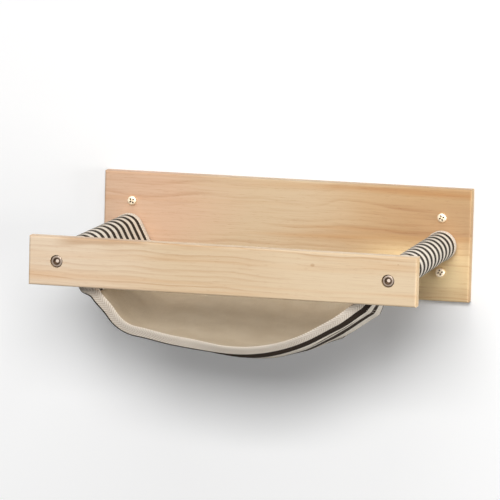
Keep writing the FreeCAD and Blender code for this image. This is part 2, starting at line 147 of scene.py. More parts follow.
def oiled_wood(name, lay, tones, heart, ring, marks=None, pale=None):
    """Flat-sawn wood whose grain runs along the first coordinate of lay's result.

    tones are the plain colours at the low end, the middle and the high end of the grain; heart is the
    place of the rings' centre across the grain, and ring is how far apart they are. marks gives the share
    of brown at a place, which is this plank's own; pale gives the share of a paler, sapwood-like tone
    that is painted light, laid where the plank lies in a cast shadow to lift that shade.
    """
    material, shader, place = new_finish(name, {"Coat Weight": 0.05, "Coat Roughness": 0.4,
                                                "Specular IOR Level": 0.3})
    warm_streak, end_grain_and_light, shadow_lift_tone = tone(240, 204, 160), tone(254, 222, 170), tone(255, 227, 175)
    mark_brown, late_wood = tone(190, 148, 108), tone(206, 166, 126)
    laid = lay(place)
    low, middle, high = [tone(*numbers) for numbers in tones]
    drift = laid.axis(0) + (laid.speckle((5, 12, 12)) - 0.5) * 0.2
    plain = drift.rise(0, 0.15).blend(drift.rise(-0.17, -0.02).blend(low, middle), high)
    streak = laid.speckle((2.2, 55, 62), 2).rise(0.46, 0.72)
    plain = (streak * 0.6).blend(plain, warm_streak, "MULTIPLY")
    sway = laid.speckle((8, 9, 9), 2, "Color")
    swayed = laid.vector("MULTIPLY_ADD", sway, (0, 0.012, 0.02), laid)
    radial = swayed.vector("MULTIPLY_ADD", swayed, (0, 1, 1), (0, -heart[0], -heart[1]))
    reach = radial.node("ShaderNodeVectorMath", {"operation": "LENGTH"}, {0: radial}, "Value")
    ring_share = (reach + (laid.speckle((14, 160, 160), 2) - 0.5) * 0.0016) / ring
    year = ring_share % 1
    strength = ring_share.node("ShaderNodeTexNoise", {"noise_dimensions": "1D"},
                               {"W": ring_share * 0.7, "Scale": 1}).rise(0.3, 0.7)
    patch = laid.speckle((7, 22, 30), 2).rise(0.38, 0.62)
    late = year ** 2.2 * (1 - year.rise(0.82, 1)) * (0.25 + strength) * (0.3 + patch)
    fibre = laid.speckle((24, 900, 900), 3)
    pore = laid.speckle((120, 1500, 1500), 1).rise(0.6, 0.74)
    facing = place.node("ShaderNodeTexCoord", {}, {}, "Normal")
    end = abs(lay(facing).axis(0)).rise(0.6, 0.9)
    # End faces blend half way to a paler, warmer tone: the warmer hue is the end grain's own, the extra
    # lightness is painted light on the ends.
    plain = (end * 0.5).blend(plain, end_grain_and_light)
    # Painted light: a paler tone where the plank lies in a cast shadow, kept off the end faces.
    if pale:
        plain = (pale(laid) * (1 - end)).blend(plain, shadow_lift_tone)
    if marks:
        plain = marks(laid).blend(plain, mark_brown)
    share = late * 0.36 + (fibre - 0.5) * 0.6 + pore * 0.18 + end * 0.1
    share.blend(plain, late_wood, "MULTIPLY").to(shader, "Base Color")
    (0.5 + (fibre - 0.5) * 0.25 + end * 0.15).to(shader, "Roughness")
    raised(fibre * 0.5 - pore * 0.5 - late * 0.3, 0.00025, shader, 0.5)
    return material


def along_x(place):
    """Grain along X, as the boards lie."""
    return place


def board_marks(laid):
    """Warm bands along the grain of the right end, and a dark line at the foot of the upper one."""
    line_height = 0.0115
    along, up = laid.axis(0), laid.axis(2)
    level = up + (laid.speckle((9, 30, 30)) - 0.5) * 0.012
    upper = level.rise(0.009, 0.013) * (1 - level.rise(0.034, 0.05))
    lower = 1 - level.rise(-0.052, -0.044)
    line = 1 - abs(level - line_height).rise(0.0004, 0.0016)
    return (upper * 0.4 + lower * 0.3 + line * 0.3) * along.rise(0.06, 0.15)


def board_shadow_lift(laid):
    """Paler, sapwood-like patch at the lower right end, painted light that lifts the bar's and sleeve's
    shadow.
    """
    along = laid.axis(0)
    length = along.rise(0.06, 0.13) * (1 - along.rise(0.18, 0.198) * 0.4)
    return length * (1 - laid.axis(2).rise(-0.02, 0.012)) * 0.95


board_tones = ((222, 186, 156), (216, 191, 157), (205, 169, 125))
nodes["back_board"].data.materials[0] = oiled_wood(
    "board_oiled_wood", along_x, board_tones, heart=(0.05, 0.075), ring=0.0048, marks=board_marks,
    pale=board_shadow_lift)

# Front bar: a narrower plank of the same wood with a brown streak at the upper edge of its left part,
# rounded over along both faces and counterbored for the two front bolts.


def bar_marks(laid):
    """The streak that tapers off along the upper edge, and two pin knots."""
    knots = ((0.094, 0.0116, 0.0022), (0.181, 0.017, 0.0009))
    front_face = -0.3
    along, up = laid.axis(0), laid.axis(2)
    wave = (laid.speckle((16, 60, 60)) - 0.5) * 0.006
    lower_edge = 0.0165 + (along + 0.16) * 0.06
    streak = (up - lower_edge + wave).rise(-0.001, 0.003) * along.rise(-0.18, -0.15)
    share = streak * (1 - along.rise(-0.088, -0.07)) * 0.55
    for knot_along, knot_up, radius in knots:
        off = laid.vector("SUBTRACT", laid, (knot_along, front_face, knot_up))
        gap = off.node("ShaderNodeVectorMath", {"operation": "LENGTH"},
                       {0: off.vector("MULTIPLY", off, (0.7, 0.2, 1))}, "Value")
        share = share + (1 - gap.rise(0.3 * radius, radius)) * 0.5
    return share


bar_tones = ((236, 213, 185), (226, 200, 165), (231, 207, 173))
nodes["front_bar"].data.materials[0] = oiled_wood(
    "bar_oiled_wood", along_x, bar_tones, heart=(-0.26, -0.06), ring=0.0046, marks=bar_marks)

# Dowels: two turned rods of the same wood that join the bar to the board and carry the sling's sleeves.
# Their grain runs from the wall to the front, and their ends are lightly chamfered.


def along_y(place):
    """Grain along Y, from the wall to the front."""
    return place.node("ShaderNodeCombineXYZ", {}, {"X": place.axis(1), "Y": place.axis(0),
                                                   "Z": place.axis(2)})


dowel_tones = ((226, 200, 166), (224, 198, 162), (222, 194, 156))
dowel_wood = oiled_wood("dowel_oiled_wood", along_y, dowel_tones, heart=(0.03, 0.02), ring=0.003)
for name in ("left_dowel", "right_dowel"):
    nodes[name].data.materials[0] = dowel_wood

# Threaded inserts: die-cast zinc bushes pressed into the ends of the dowels, which take the bolts.
# Dull and slightly mottled from the casting.


def metal(name, colour, rough, mottle, grit, painted_shade=None):
    """Plated or cast metal with a mottled tone and a fine grit in its polish, and painted shade where
    given.
    """
    material, shader, place = new_finish(name, {"Metallic": 1})
    cloud = place.speckle((mottle, mottle, mottle), 3)
    fine = place.speckle((grit, grit, grit), 2)
    dulled, painted_shade_brown = tone(*(0.78 * value for value in colour)), tone(72, 53, 37)
    plain = (cloud.rise(0.35, 0.75) * 0.5).blend(tone(*colour), dulled)
    # Painted shade: a dark brown laid where the given mask asks for it.
    if painted_shade:
        plain = painted_shade(place).blend(plain, painted_shade_brown)
    plain.to(shader, "Base Color")
    (rough + (cloud - 0.5) * 0.16 + (fine - 0.5) * 0.12).to(shader, "Roughness")
    raised(fine, 0.00004, shader, 0.4)
    return material


insert_zinc = metal("cast_zinc", (178, 172, 164), rough=0.5, mottle=260, grit=2600)
for name in ("left_inserts", "right_inserts"):
    nodes[name].data.materials[0] = insert_zinc

# Sling canvas: one length of striped cotton canvas, its ends turned over the dowels and sewn back on
# its inner face as sleeves. Between the seams it sags into a bag with a shallow floor and rims that
# roll up at the front and at the wall. Stripes run along it, dark on the outside; the inside is plain.

dowel_low, dowel_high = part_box("left_dowel")
dowel_radius = (dowel_high[0] - dowel_low[0]) / 2
dowel_out = -(dowel_low[0] + dowel_high[0]) / 2
bed_low, bed_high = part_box("sling_bed")
sling_middle = (bed_low[1] + bed_high[1]) / 2
canvas = 0.0012
tape_width, tape_thick, tape_gap = 0.0105, 0.00055, 0.00003
tape_reach = tape_gap + tape_thick
sling_half, back_rise = 0.13105, 0.03
sleeve_play, flap_play = 0.00125, 0.0002
sleeve_radius = dowel_radius + sleeve_play + canvas / 2
seam_reach, seam_allowance, seam_fall = 0.0468, 0.005, math.radians(45)
flap_lift = canvas + 2 * tape_reach + flap_play


def seam_spot(side, along, above):
    """Point in the upright plane, along the seam's fall from a dowel's axis and above its line."""
    drop, slope = math.sin(seam_fall), math.cos(seam_fall)
    return Vector((side * (dowel_out - along * slope - above * drop), above * slope - along * drop))


def sleeve_corners(side):
    """Corners of the sleeve's loop, from the bed's end round the dowel to the flap's end."""
    knee = seam_reach - seam_allowance
    spread = math.acos(sleeve_radius / knee)
    far = sleeve_radius * math.sin(spread)
    far += sleeve_radius * (1 + math.cos(spread)) / math.tan(spread)
    return [seam_spot(side, knee, 0), seam_spot(side, -sleeve_radius, -far),
            seam_spot(side, -sleeve_radius, far), seam_spot(side, knee, flap_lift),
            seam_spot(side, seam_reach, flap_lift)]


def rounded_path(corners, radii, step):
    """Points at even steps along a path through the corners, the inner ones rounded by arcs."""
    arc_steps = 32
    dense = [corners[0]]
    for before, corner, after, radius in zip(corners, corners[1:], corners[2:], radii):
        towards, away = (before - corner).normalized(), (after - corner).normalized()
        half_angle = towards.angle(away) / 2
        centre = corner + (towards + away).normalized() * (radius / math.sin(half_angle))
        start = corner + towards * (radius / math.tan(half_angle)) - centre
        swing = (away * (radius / math.tan(half_angle)) + corner - centre).angle_signed(start)
        for i in range(arc_steps + 1):
            turned = start.copy()
            turned.rotate(Matrix.Rotation(swing * i / arc_steps, 2))
            dense.append(centre + turned)
    dense.append(corners[-1])
    reach = [0]
    for first, second in zip(dense, dense[1:]):
        reach.append(reach[-1] + (second - first).length)
    count = round(reach[-1] / step)
    points, leg = [], 0
    for i in range(count + 1):
        distance = reach[-1] * i / count
        while leg < len(dense) - 2 and reach[leg + 1] < distance:
            leg += 1
        share = (distance - reach[leg]) / (reach[leg + 1] - reach[leg])
        points.append(dense[leg].lerp(dense[leg + 1], share))
    return points, reach[-1]


seam_ends = [seam_spot(side, seam_reach, 0) for side in (-1, 1)]
left_run, left_depth, low_run, low_depth = 0.028, 0.0703, 0.093, 0.089
left_corner = Vector((seam_ends[0].x + left_run, -left_depth))
low_corner = Vector((seam_ends[1].x - low_run, -low_depth))
corners = (sleeve_corners(-1)[::-1] + [seam_ends[0], left_corner, low_corner, seam_ends[1]]
           + sleeve_corners(1))
knee_round, seam_round, left_round, low_round, row_aim = 0.012, 0.015, 0.04, 0.16, 0.0022
sleeve_rounds = [knee_round, sleeve_radius, sleeve_radius, knee_round]
bed_rounds = [seam_round, left_round, low_round, seam_round]
cloth_line, cloth_length = rounded_path(
    corners, sleeve_rounds + bed_rounds + sleeve_rounds[::-1], row_aim)
rows = len(cloth_line)
row_step = cloth_length / (rows - 1)


def nearest_row(spot):
    """Row of the lower layer that lies nearest to a spot."""
    return min(range(rows), key=lambda i: (cloth_line[i] - spot).length)


past_seam, under_seam = 0.001, 0.0005
first_bed_row, last_bed_row = [nearest_row(seam_spot(side, seam_reach + past_seam, -under_seam))
                               for side in (-1, 1)]
bed_length = (last_bed_row - first_bed_row) * row_step
turn_rows = round((cloth_length - bed_length) / 4 / row_step)


def eased(value, low, high):
    """0 below low, 1 above high and a smooth step between."""
    share = min(1, max(0, (value - low) / (high - low)))
    return share * share * (3 - 2 * share)


def swell(value, starts, full, falls, ends):
    """0 outside two bounds, 1 between two inner ones and smooth steps between."""
    return eased(value, starts, full) * (1 - eased(value, falls, ends))


class HalfSection:
    """The cloth's line from the middle of the sling to one edge: flat, or rolled up into a rim.

    share is the place between the left seam and the right one, and rise is how far the rim is up. Towards
    the right seam the rim is less steep and turns up over a longer way, and a second, softer roll lies
    beside it where the cloth is drawn taut.
    """

    fine, past_edge = 0.0005, 0.006
    floor_tilt, second_turn = math.radians(5), math.radians(24)
    second_in, second_half = 0.043, 0.009

    def __init__(self, share, rise):
        turn = 72 - 9 * eased(share, 0.05, 0.2) - 13 * eased(share, 0.38, 0.52)
        turn -= 9 * eased(share, 0.52, 0.9)
        turn = math.radians(turn + 3 * eased(share, 0.85, 0.97)) * rise
        tilt = self.floor_tilt * rise
        taut = eased(share, 0.82, 0.96)
        second_roll = self.second_turn * taut * rise
        ease = 0.0012 + 0.0035 * eased(share, 0.42, 0.56)
        ease += 0.0105 * eased(share, 0.56, 0.8) + 0.009 * eased(share, 0.77, 0.87)
        rim_start = sling_half - tape_width - 0.001 - 0.007 * eased(share, 0.45, 0.7)
        wide = high = across = 0
        self.spots = []
        while across <= sling_half + self.past_edge:
            from_edge = sling_half - across
            bend = math.exp(min(0, across - rim_start) / ease)
            bend += 0.8 * taut * (1 - eased(from_edge, 0.017, 0.026) - bend)
            slope = tilt * across / rim_start + (turn - tilt) * bend
            slope += second_roll * math.exp(-((from_edge - self.second_in) / self.second_half) ** 2)
            self.spots.append((wide, high, slope))
            wide += self.fine * math.cos(slope)
            high += self.fine * math.sin(slope)
            across += self.fine
        self.hem_wide, self.hem_high, self.hem_slope = self.spot(sling_half - tape_width / 2)

    def spot(self, across):
        """Place across, height and slope at a distance from the middle, measured along the cloth."""
        at = min(across / self.fine, len(self.spots) - 2)
        return [first + (second - first) * (at - int(at)) for first, second in
                zip(self.spots[int(at)], self.spots[int(at) + 1])]


class ClothRow:
    """Cross section of the sling at one place along it, flat in the sleeves and a trough in the bed.

    The front rim keeps its roll past the seams into the sleeves, where the wall side lies flat. In the
    left sleeve its outer layer hangs slack, clear of the flap.
    """

    def __init__(self, number):
        self.point = cloth_line[number]
        way = cloth_line[min(number + 1, rows - 1)] - cloth_line[max(number - 1, 0)]
        self.along = number * row_step
        from_left = (number - first_bed_row) * row_step
        from_right = bed_length - from_left
        self.layer = 1
        if number < turn_rows or number > rows - 1 - turn_rows:
            self.layer = -1
            from_left = -self.along if number < turn_rows else bed_length + cloth_length - self.along
            from_right = bed_length - from_left
        self.from_seam = min(from_left, from_right)
        share = from_left / bed_length
        self.front = HalfSection(share, eased(self.from_seam, -0.03, 0.001))
        self.back = HalfSection(share, eased(from_left, -0.018, 0.012) * eased(from_right, 0.005, 0.05))
        self.drawn_up = 0.0035 * swell(from_right, -0.04, -0.01, -0.005, 0.03)
        self.drawn_up += 0.0022 * swell(from_left, 0.002, 0.024, 0.06, 0.1)
        if self.layer > 0:
            self.drawn_up -= 0.004 * swell(from_left, -0.024, -0.012, -0.012, 0.001)
        hem_to_hem = self.front.hem_wide + self.back.hem_wide
        self.lean = back_rise * eased(self.from_seam, -0.02, 0.1) / hem_to_hem
        self.inward = Vector((-way.y, way.x)).normalized() * self.layer
        end = -1 if from_left < from_right else 1
        at_seam = Vector((-end * math.sin(seam_fall), math.cos(seam_fall)))
        self.rise_way = at_seam.lerp(self.inward, eased(self.from_seam, 0, 0.03))

    def lift(self, across):
        """Height of the folds above the smooth form, towards the inner face."""
        from_edge = sling_half - abs(across)
        inner = eased(from_edge, 0.014, 0.034)
        if self.from_seam <= 0:
            return 0
        near = math.exp(-self.from_seam / 0.04) * min(1, self.from_seam / 0.006)
        drawn = noise.noise((across * 42, self.along * 6, 3.7))
        slack = noise.noise((across * 14, self.along * 11, 8.1))
        rolled = noise.noise((across * 16 + self.along * 14, self.along * 48, 1.3))
        at_roll = math.exp(-((from_edge - 0.04) / 0.02) ** 2)
        folds = 0.0026 * near * drawn + 0.0022 * slack + 0.0014 * at_roll * rolled
        return folds * inner * eased(self.from_seam, 0, 0.015)

    def place(self, across, outward):
        """Point in space: across is the distance along the cloth from the middle, negative towards the
        front, and outward is how far the point lies from the cloth's inner face."""
        half = self.front if across < 0 else self.back
        wide, high, slope = half.spot(abs(across))
        if self.layer < 0:
            outward = canvas - outward
        wide = math.copysign(wide + outward * math.sin(slope), across)
        skin = canvas / 2 * math.cos(half.hem_slope) - outward * math.cos(slope)
        form = high - half.hem_high + self.lean * (wide + self.front.hem_wide) + self.lift(across)
        if across < 0:
            deep = eased(sling_half + across, 0.044, 0.09)
            form += self.drawn_up + deep * (half.hem_high - self.back.hem_high - self.drawn_up)
        at = self.point + self.rise_way * form + self.inward * skin
        return Vector((at.x, sling_middle + wide, at.y))


cloth_rows = [ClothRow(i) for i in range(rows)]
columns = 120


def sheet_mesh(name, points, width, closed, spans):
    """A mesh of rows of points with a map of the distances along and across the cloth, in metres."""
    faces, map_spots = [], []
    last = width if closed else width - 1
    for i in range(len(points) // width - 1):
        for j in range(last):
            right = (j + 1) % width
            faces.append((i * width + j, i * width + right, (i + 1) * width + right, (i + 1) * width + j))
            for row, column in ((i, j), (i, j + 1), (i + 1, j + 1), (i + 1, j)):
                map_spots.append((row * row_step, spans[column]))
    mesh = bpy.data.meshes.new(name)
    mesh.from_pydata(points, [], faces)
    cloth_map = mesh.uv_layers.new(name="cloth")
    for corner, spot in zip(cloth_map.data, map_spots):
        corner.uv = spot
    piece = bpy.data.objects.new(name, mesh)
    bpy.context.scene.collection.objects.link(piece)
    return piece


def make_active(piece):
    """Select one piece alone, for the operators that follow."""
    bpy.ops.object.select_all(action="DESELECT")
    piece.select_set(True)
    bpy.context.view_layer.objects.active = piece


fold_clear = 0.002
canvas_half = sling_half - fold_clear
across_at = [canvas_half * (2 * j / columns - 1) for j in range(columns + 1)]
sling_canvas = sheet_mesh(
    "sling_canvas", [row.place(across, canvas / 2) for row in cloth_rows for across in across_at],
    width=columns + 1, closed=False, spans=[across + sling_half for across in across_at])


def cloth_coordinates(place):
    """Distances along and across the cloth, from the piece's own map."""
    return place.node("ShaderNodeUVMap", {"uv_map": "cloth"}, {}, "UV")


def plain_weave(spot, yarn):
    """Relief of a plain weave and a tone that changes from yarn to yarn."""
    along, across = spot.axis(0) / yarn, spot.axis(1) / yarn
    over = (along.math("FLOOR", along) + across.math("FLOOR", across)) % 2
    warp = 1 - abs((across % 1) * 2 - 1) ** 2
    weft = 1 - abs((along % 1) * 2 - 1) ** 2
    relief = over * warp + (1 - over) * weft
    slub = over * spot.speckle((60, 1600, 0), 2) + (1 - over) * spot.speckle((1600, 60, 0), 2)
    return relief, slub


def striped_cotton(name, striped):
    """Plain-woven cotton, with stripes along the cloth and a painted shadow along a crease of the right
    flank, or plain.
    """
    cream, charcoal, crease_shadow_tone = tone(252, 243, 228), tone(46, 37, 30), tone(92, 77, 63)
    unbleached, unbleached_pale = tone(211, 195, 169), tone(218, 203, 178)
    slub_and_weave_shade, yarn = tone(170, 150, 128), 0.00075
    material, shader, place = new_finish(name, {"Sheen Weight": 0.05, "Sheen Roughness": 0.5,
                                                "Sheen Tint": tone(255, 228, 200),
                                                "Specular IOR Level": 0.1})
    spot = cloth_coordinates(place)
    relief, slub = plain_weave(spot, yarn)
    cloud = spot.speckle((40, 40, 0), 3)
    if striped:
        stripe_pitch, stripe_width, first_stripe = 0.0193, 0.0096, 0.0095
        frayed = spot.axis(1) + (slub - 0.5) * 0.0007
        into = (frayed - first_stripe) % stripe_pitch
        dark = into < stripe_width
        plain = dark.blend(cream, charcoal)
        # Painted shadow: a thin dark line along a crease of the right flank, fading out towards both
        # ends.
        crease_in, crease_slope = 0.0208, 0.066
        to_seam = (cloth_length + bed_length) / 2 - spot.axis(0)
        crease = 1 - abs(spot.axis(1) - to_seam * crease_slope - crease_in).rise(0.0006, 0.0016)
        crease = crease * to_seam.rise(0.01, 0.024) * (1 - to_seam.rise(0.055, 0.072))
        plain = (crease * 0.9).blend(plain, crease_shadow_tone)
    else:
        plain = cloud.rise(0.3, 0.7).blend(unbleached, unbleached_pale)
    # Tone from yarn to yarn by the slubs, and painted shade in the weave's hollows between the yarns.
    share = (slub - 0.42) * 0.55 + (1 - relief) * 0.18
    share.blend(plain, slub_and_weave_shade, "MULTIPLY").to(shader, "Base Color")
    (0.86 + (slub - 0.5) * 0.15 - cloud * 0.05).to(shader, "Roughness")
    raised(relief + slub * 0.4, 0.0002, shader, 0.7)
    return material


sling_canvas.data.materials.append(striped_cotton("striped_canvas", True))
sling_canvas.data.materials.append(striped_cotton("canvas_inside", False))
make_active(sling_canvas)
walls = sling_canvas.modifiers.new("walls", "SOLIDIFY")
walls.thickness = canvas
walls.offset = 0
walls.material_offset = 1
walls.material_offset_rim = 1
bpy.ops.object.modifier_apply(modifier="walls")
bpy.ops.object.shade_smooth_by_angle(angle=math.radians(40))
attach(sling_canvas, "sling")
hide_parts("sling_bed", "left_sleeve", "right_sleeve")

# Edge bindings: cream cotton herringbone tape folded over the canvas at the front and at the wall, from
# one sleeve's end through the bed to the other's, and sewn through both legs with a lockstitch.


def tape_section():
    """Spots of the folded tape round the canvas's edge: distance in from it, outward, and spread."""
    insets = [tape_width * share for share in (1, 0.85, 0.7, 0.55, 0.4, 0.27, 0.19, 0.12, 0.05, 0)]
    pressed, fold_spots = 0.00012, 6
    spots = []
    for clear, order in ((tape_thick, 1), (0, -1)):
        leg = [(inset, clear + pressed + (canvas / 2 + tape_gap - pressed) * eased(inset, 0, 0.002))
               for inset in insets]
        fold = []
        for i in range(1, fold_spots):
            angle = math.pi * i / fold_spots
            fold.append((-leg[-1][1] * math.sin(angle), leg[-1][1] * math.cos(angle), tape_width))
        ring = [(inset, outward, tape_width - inset) for inset, outward in leg] + fold
        ring += [(inset, -outward, tape_width + inset) for inset, outward in leg[::-1]]
        spots += ring[::order]
    return spots


tape_spots = tape_section()
herringbone, tape_shader, tape_place = new_finish(
    "herringbone_tape", {"Sheen Weight": 0.15, "Sheen Roughness": 0.5, "Specular IOR Level": 0.2})
tape_spot = cloth_coordinates(tape_place)
chevron_width, chevron_start, chevron_slope, twill_pitch = 0.006, 0.0002, 0.8, 0.0028
chevron = abs(((tape_spot.axis(1) - chevron_start) / chevron_width) % 2 - 1) * chevron_width
twill = ((tape_spot.axis(0) + chevron * chevron_slope) / twill_pitch) % 1
ridge = 1 - abs(twill * 2 - 1) ** 2
tape_slub = tape_spot.speckle((900, 300, 0), 3)
tape_cloud = tape_spot.speckle((50, 80, 0), 3)
tape_cream, ridge_shade_and_mottle = tone(243, 232, 217), tone(186, 166, 144)
# Painted shade between the twill's ridges, with a random tone from the slubs and a mottle.
((1 - ridge) * 0.6 + (tape_slub - 0.5) * 0.4 + (tape_cloud - 0.5) * 0.3).blend(
    tape_cream, ridge_shade_and_mottle, "MULTIPLY").to(tape_shader, "Base Color")
(0.88 - ridge * 0.08).to(tape_shader, "Roughness")
raised(ridge + tape_slub * 0.3, 0.0003, tape_shader, 0.8)
for name, end in (("front_webbing", -1), ("back_webbing", 1)):
    points = [row.place(end * (sling_half - inside), canvas / 2 + outward)
              for row in cloth_rows for inside, outward, _ in tape_spots]
    binding = sheet_mesh(name, points, width=len(tape_spots), closed=True,
                         spans=[spot[2] for spot in tape_spots] + [0])
    make_active(binding)
    bpy.ops.object.mode_set(mode="EDIT")
    bpy.ops.mesh.select_all(action="SELECT")
    bpy.ops.mesh.normals_make_consistent(inside=False)
    bpy.ops.object.mode_set(mode="OBJECT")
    bpy.ops.object.shade_smooth_by_angle(angle=math.radians(50))
    binding.data.materials.append(herringbone)
    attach(binding, "sling")
    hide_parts(name.replace("webbing", "binding"))

# Stitching: cream thread in a lockstitch along both legs of the bindings, and in two rows across each
# sleeve's flap where it is sewn back on the bed.

stitch_length, stitch_gap, thread_radius = 0.0026, 0.0008, 0.00026
bpy.ops.object.select_all(action="DESELECT")
bpy.ops.mesh.primitive_uv_sphere_add(segments=6, ring_count=4, radius=1)
one_stitch = bpy.context.object
stitch_spots = []
for vertex in one_stitch.data.vertices:
    x, y, z = vertex.co
    stitch_spots.append(Vector((z * stitch_length / 2, x * thread_radius, y * thread_radius)))
stitch_faces = [tuple(face.vertices) for face in one_stitch.data.polygons]
bpy.data.objects.remove(one_stitch, do_unlink=True)
cotton_thread, thread_shader, thread_place = new_finish("cotton_thread", {"Sheen Weight": 0.2})
thread_twist = thread_place.speckle((2200, 2200, 2200), 2)
thread_cream, thread_shade = tone(232, 222, 206), tone(204, 188, 166)
thread_twist.blend(thread_cream, thread_shade).to(thread_shader, "Base Color")
(0.7 + thread_twist * 0.2).to(thread_shader, "Roughness")


def sewn_lines(name, lines):
    """Stitches at even steps along lines of points, laid flat along them."""
    points, faces = [], []
    for line in lines:
        travelled, next_at = 0, stitch_length / 2
        for first, second in zip(line, line[1:]):
            leg = second - first
            while travelled + leg.length > next_at:
                centre = first.lerp(second, (next_at - travelled) / leg.length)
                frame_turn = leg.to_track_quat("X", "Z")
                start = len(points)
                points += [centre + frame_turn @ spot for spot in stitch_spots]
                faces += [tuple(start + corner for corner in face) for face in stitch_faces]
                next_at += stitch_length + stitch_gap
            travelled += leg.length
    mesh = bpy.data.meshes.new(name)
    mesh.from_pydata(points, [], faces)
    mesh.materials.append(cotton_thread)
    piece = bpy.data.objects.new(name, mesh)
    bpy.context.scene.collection.objects.link(piece)
    make_active(piece)
    bpy.ops.object.shade_smooth()
    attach(piece, "sling")
    return piece


stitch_clear = 0.002
stitch_in = tape_width - stitch_clear
for name, end in (("front_hem_stitching", -1), ("back_hem_stitching", 1)):
    sewn_lines(name, [
        [row.place(end * (sling_half - stitch_in), outward) for row in cloth_rows]
        for outward in (canvas + tape_reach, -tape_reach)])
half_steps, steps_in = 30, 4
seam_columns = [sling_half * (j / half_steps - 1) for j in range(steps_in, 2 * half_steps - steps_in + 1)]
for name, at_seam, step in (("left_seam_stitching", first_bed_row, -1),
                            ("right_seam_stitching", last_bed_row, 1)):
    lines = []
    for back_rows in (1, 2):
        lower = cloth_rows[at_seam + step * back_rows]
        flap = cloth_rows[back_rows if step < 0 else rows - 1 - back_rows]
        lines += [[row.place(across, canvas + thread_radius / 2) for across in seam_columns]
                  for row in (lower, flap)]
    sewn_lines(name, lines)

# Bolts: nickel-plated socket screws, two through the bar and two through the board from behind, sunk in
# counterbores and driven into the inserts. Turned, threaded and broached with a hexagon.


def lathe(name, outline, steps):
    """Spin an outline of radii and depths round the Y axis into a closed turned piece."""
    mesh = bpy.data.meshes.new(name)
    mesh.from_pydata([(radius, depth, 0) for radius, depth in outline],
                     [(i, i + 1) for i in range(len(outline) - 1)], [])
    piece = bpy.data.objects.new(name, mesh)
    bpy.context.scene.collection.objects.link(piece)
    make_active(piece)
    bpy.ops.object.mode_set(mode="EDIT")
    bpy.ops.mesh.select_all(action="SELECT")
    bpy.ops.mesh.spin(steps=steps, angle=2 * math.pi, center=(0, 0, 0), axis=(0, 1, 0))
    bpy.ops.mesh.select_all(action="SELECT")
    bpy.ops.mesh.remove_doubles(threshold=1e-6)
    bpy.ops.mesh.normals_make_consistent(inside=False)
    bpy.ops.object.mode_set(mode="OBJECT")
    return piece


def cut_thread(piece, start, stop, pitch, depth):
    """Draw the shank in along a helix between two depths."""
    for vertex in piece.data.vertices:
        x, y, z = vertex.co
        radius = math.hypot(x, z)
        if start < y < stop and radius > depth:
            phase = (y / pitch + math.atan2(z, x) / (2 * math.pi)) % 1
            fade = min(1, (y - start) / pitch, (stop - y) / pitch)
            share = 1 - depth * fade * abs(2 * phase - 1) / radius
            vertex.co = (x * share, y, z * share)


def cut_out(piece, tool):
    """Cut a tool's shape out of a piece and remove the tool."""
    make_active(piece)
    cut = piece.modifiers.new("cut", "BOOLEAN")
    cut.object = tool
    bpy.ops.object.modifier_apply(modifier="cut")
    bpy.data.objects.remove(tool, do_unlink=True)


def set_in_place(model, name, node, turn, spin, place):
    """A copy of a fastener, spun about its axis, turned to face its side and moved to its bore."""
    copy = bpy.data.objects.new(name, model.data.copy())
    copy.data.transform(Matrix.Translation(place) @ Matrix.Rotation(turn, 4, "Z") @
                        Matrix.Rotation(spin, 4, "Y"))
    bpy.context.scene.collection.objects.link(copy)
    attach(copy, "frame")
    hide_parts(node)


front_low, front_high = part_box("front_bolts")
rear_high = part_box("rear_bolts")[1]
bolt_length = front_high[1] - front_low[1]
head_radius, head_height, bolt_radius, thread_pitch = 0.006, 0.004, 0.003, 0.001
bolt_outline = [(0, 0), (0.0052, 0), (0.0056, 0.0001), (0.0058, 0.00025), (head_radius, 0.0006),
                (head_radius, 0.0036), (0.0058, 0.0039), (0.0055, head_height),
                (0.0033, head_height), (bolt_radius, 0.0044)]
thread_start, thread_stop, thread_depth, rings_a_turn = 0.0048, bolt_length - 0.0006, 0.0006, 5
thread_rings = round((thread_stop - thread_start) / thread_pitch * rings_a_turn)
for i in range(thread_rings + 1):
    bolt_outline.append((bolt_radius, thread_start + (thread_stop - thread_start) * i / thread_rings))
bolt_outline += [(0.0024, bolt_length), (0, bolt_length)]
bolt = lathe("bolt", bolt_outline, steps=30)
cut_thread(bolt, thread_start, thread_stop, thread_pitch, thread_depth)
socket_across, socket_depth = 0.006, 0.0028
bpy.ops.object.select_all(action="DESELECT")
bpy.ops.mesh.primitive_cylinder_add(vertices=6, radius=socket_across / math.sqrt(3),
                                    depth=2 * socket_depth, rotation=(math.pi / 2, 0, 0))
cut_out(bolt, bpy.context.object)
bpy.ops.object.shade_smooth_by_angle(angle=math.radians(35))


def from_axis(place, across, up):
    """Distance from the axes of fasteners that lie along Y, mirrored about the middle planes."""
    off_across, off_up = abs(place.axis(0)) - across, abs(place.axis(2)) - up
    return (off_across * off_across + off_up * off_up) ** 0.5


def bolt_painted_shade(place):
    """Painted shade over the head, deepest round the socket's walls and at the head's rim; the socket's
    floor keeps the bright base tone, which stands for light on it.
    """
    out = from_axis(place, dowel_out, 0)
    beyond_floor = out.rise(0.0015, 0.0019)
    ring = beyond_floor * (1 - out.rise(0.0036, 0.0042))
    return beyond_floor * 0.55 + ring * 0.4 + out.rise(0.005, 0.006) * 0.35


# The bright base tone is the painted highlight of the socket's floor; painted shade darkens the rest of
# the head.
bolt.data.materials.append(metal("nickel_plate", (224, 206, 190), rough=0.34, mottle=420, grit=3000,
                                 painted_shade=bolt_painted_shade))
for side_name, across, spin in (("left", -dowel_out, 0.3), ("right", dowel_out, 0.9)):
    set_in_place(bolt, "front_bolt_" + side_name, "front_bolts", 0, spin,
                 (across, front_low[1], 0))
    set_in_place(bolt, "rear_bolt_" + side_name, "rear_bolts", math.pi, spin + 0.4,
                 (across, rear_high[1], 0))
bpy.data.objects.remove(bolt, do_unlink=True)

# Wall screws: four zinc-plated pan-head screws through the board into the wall, with a cross recess, a
# coarse thread and a gimlet point.

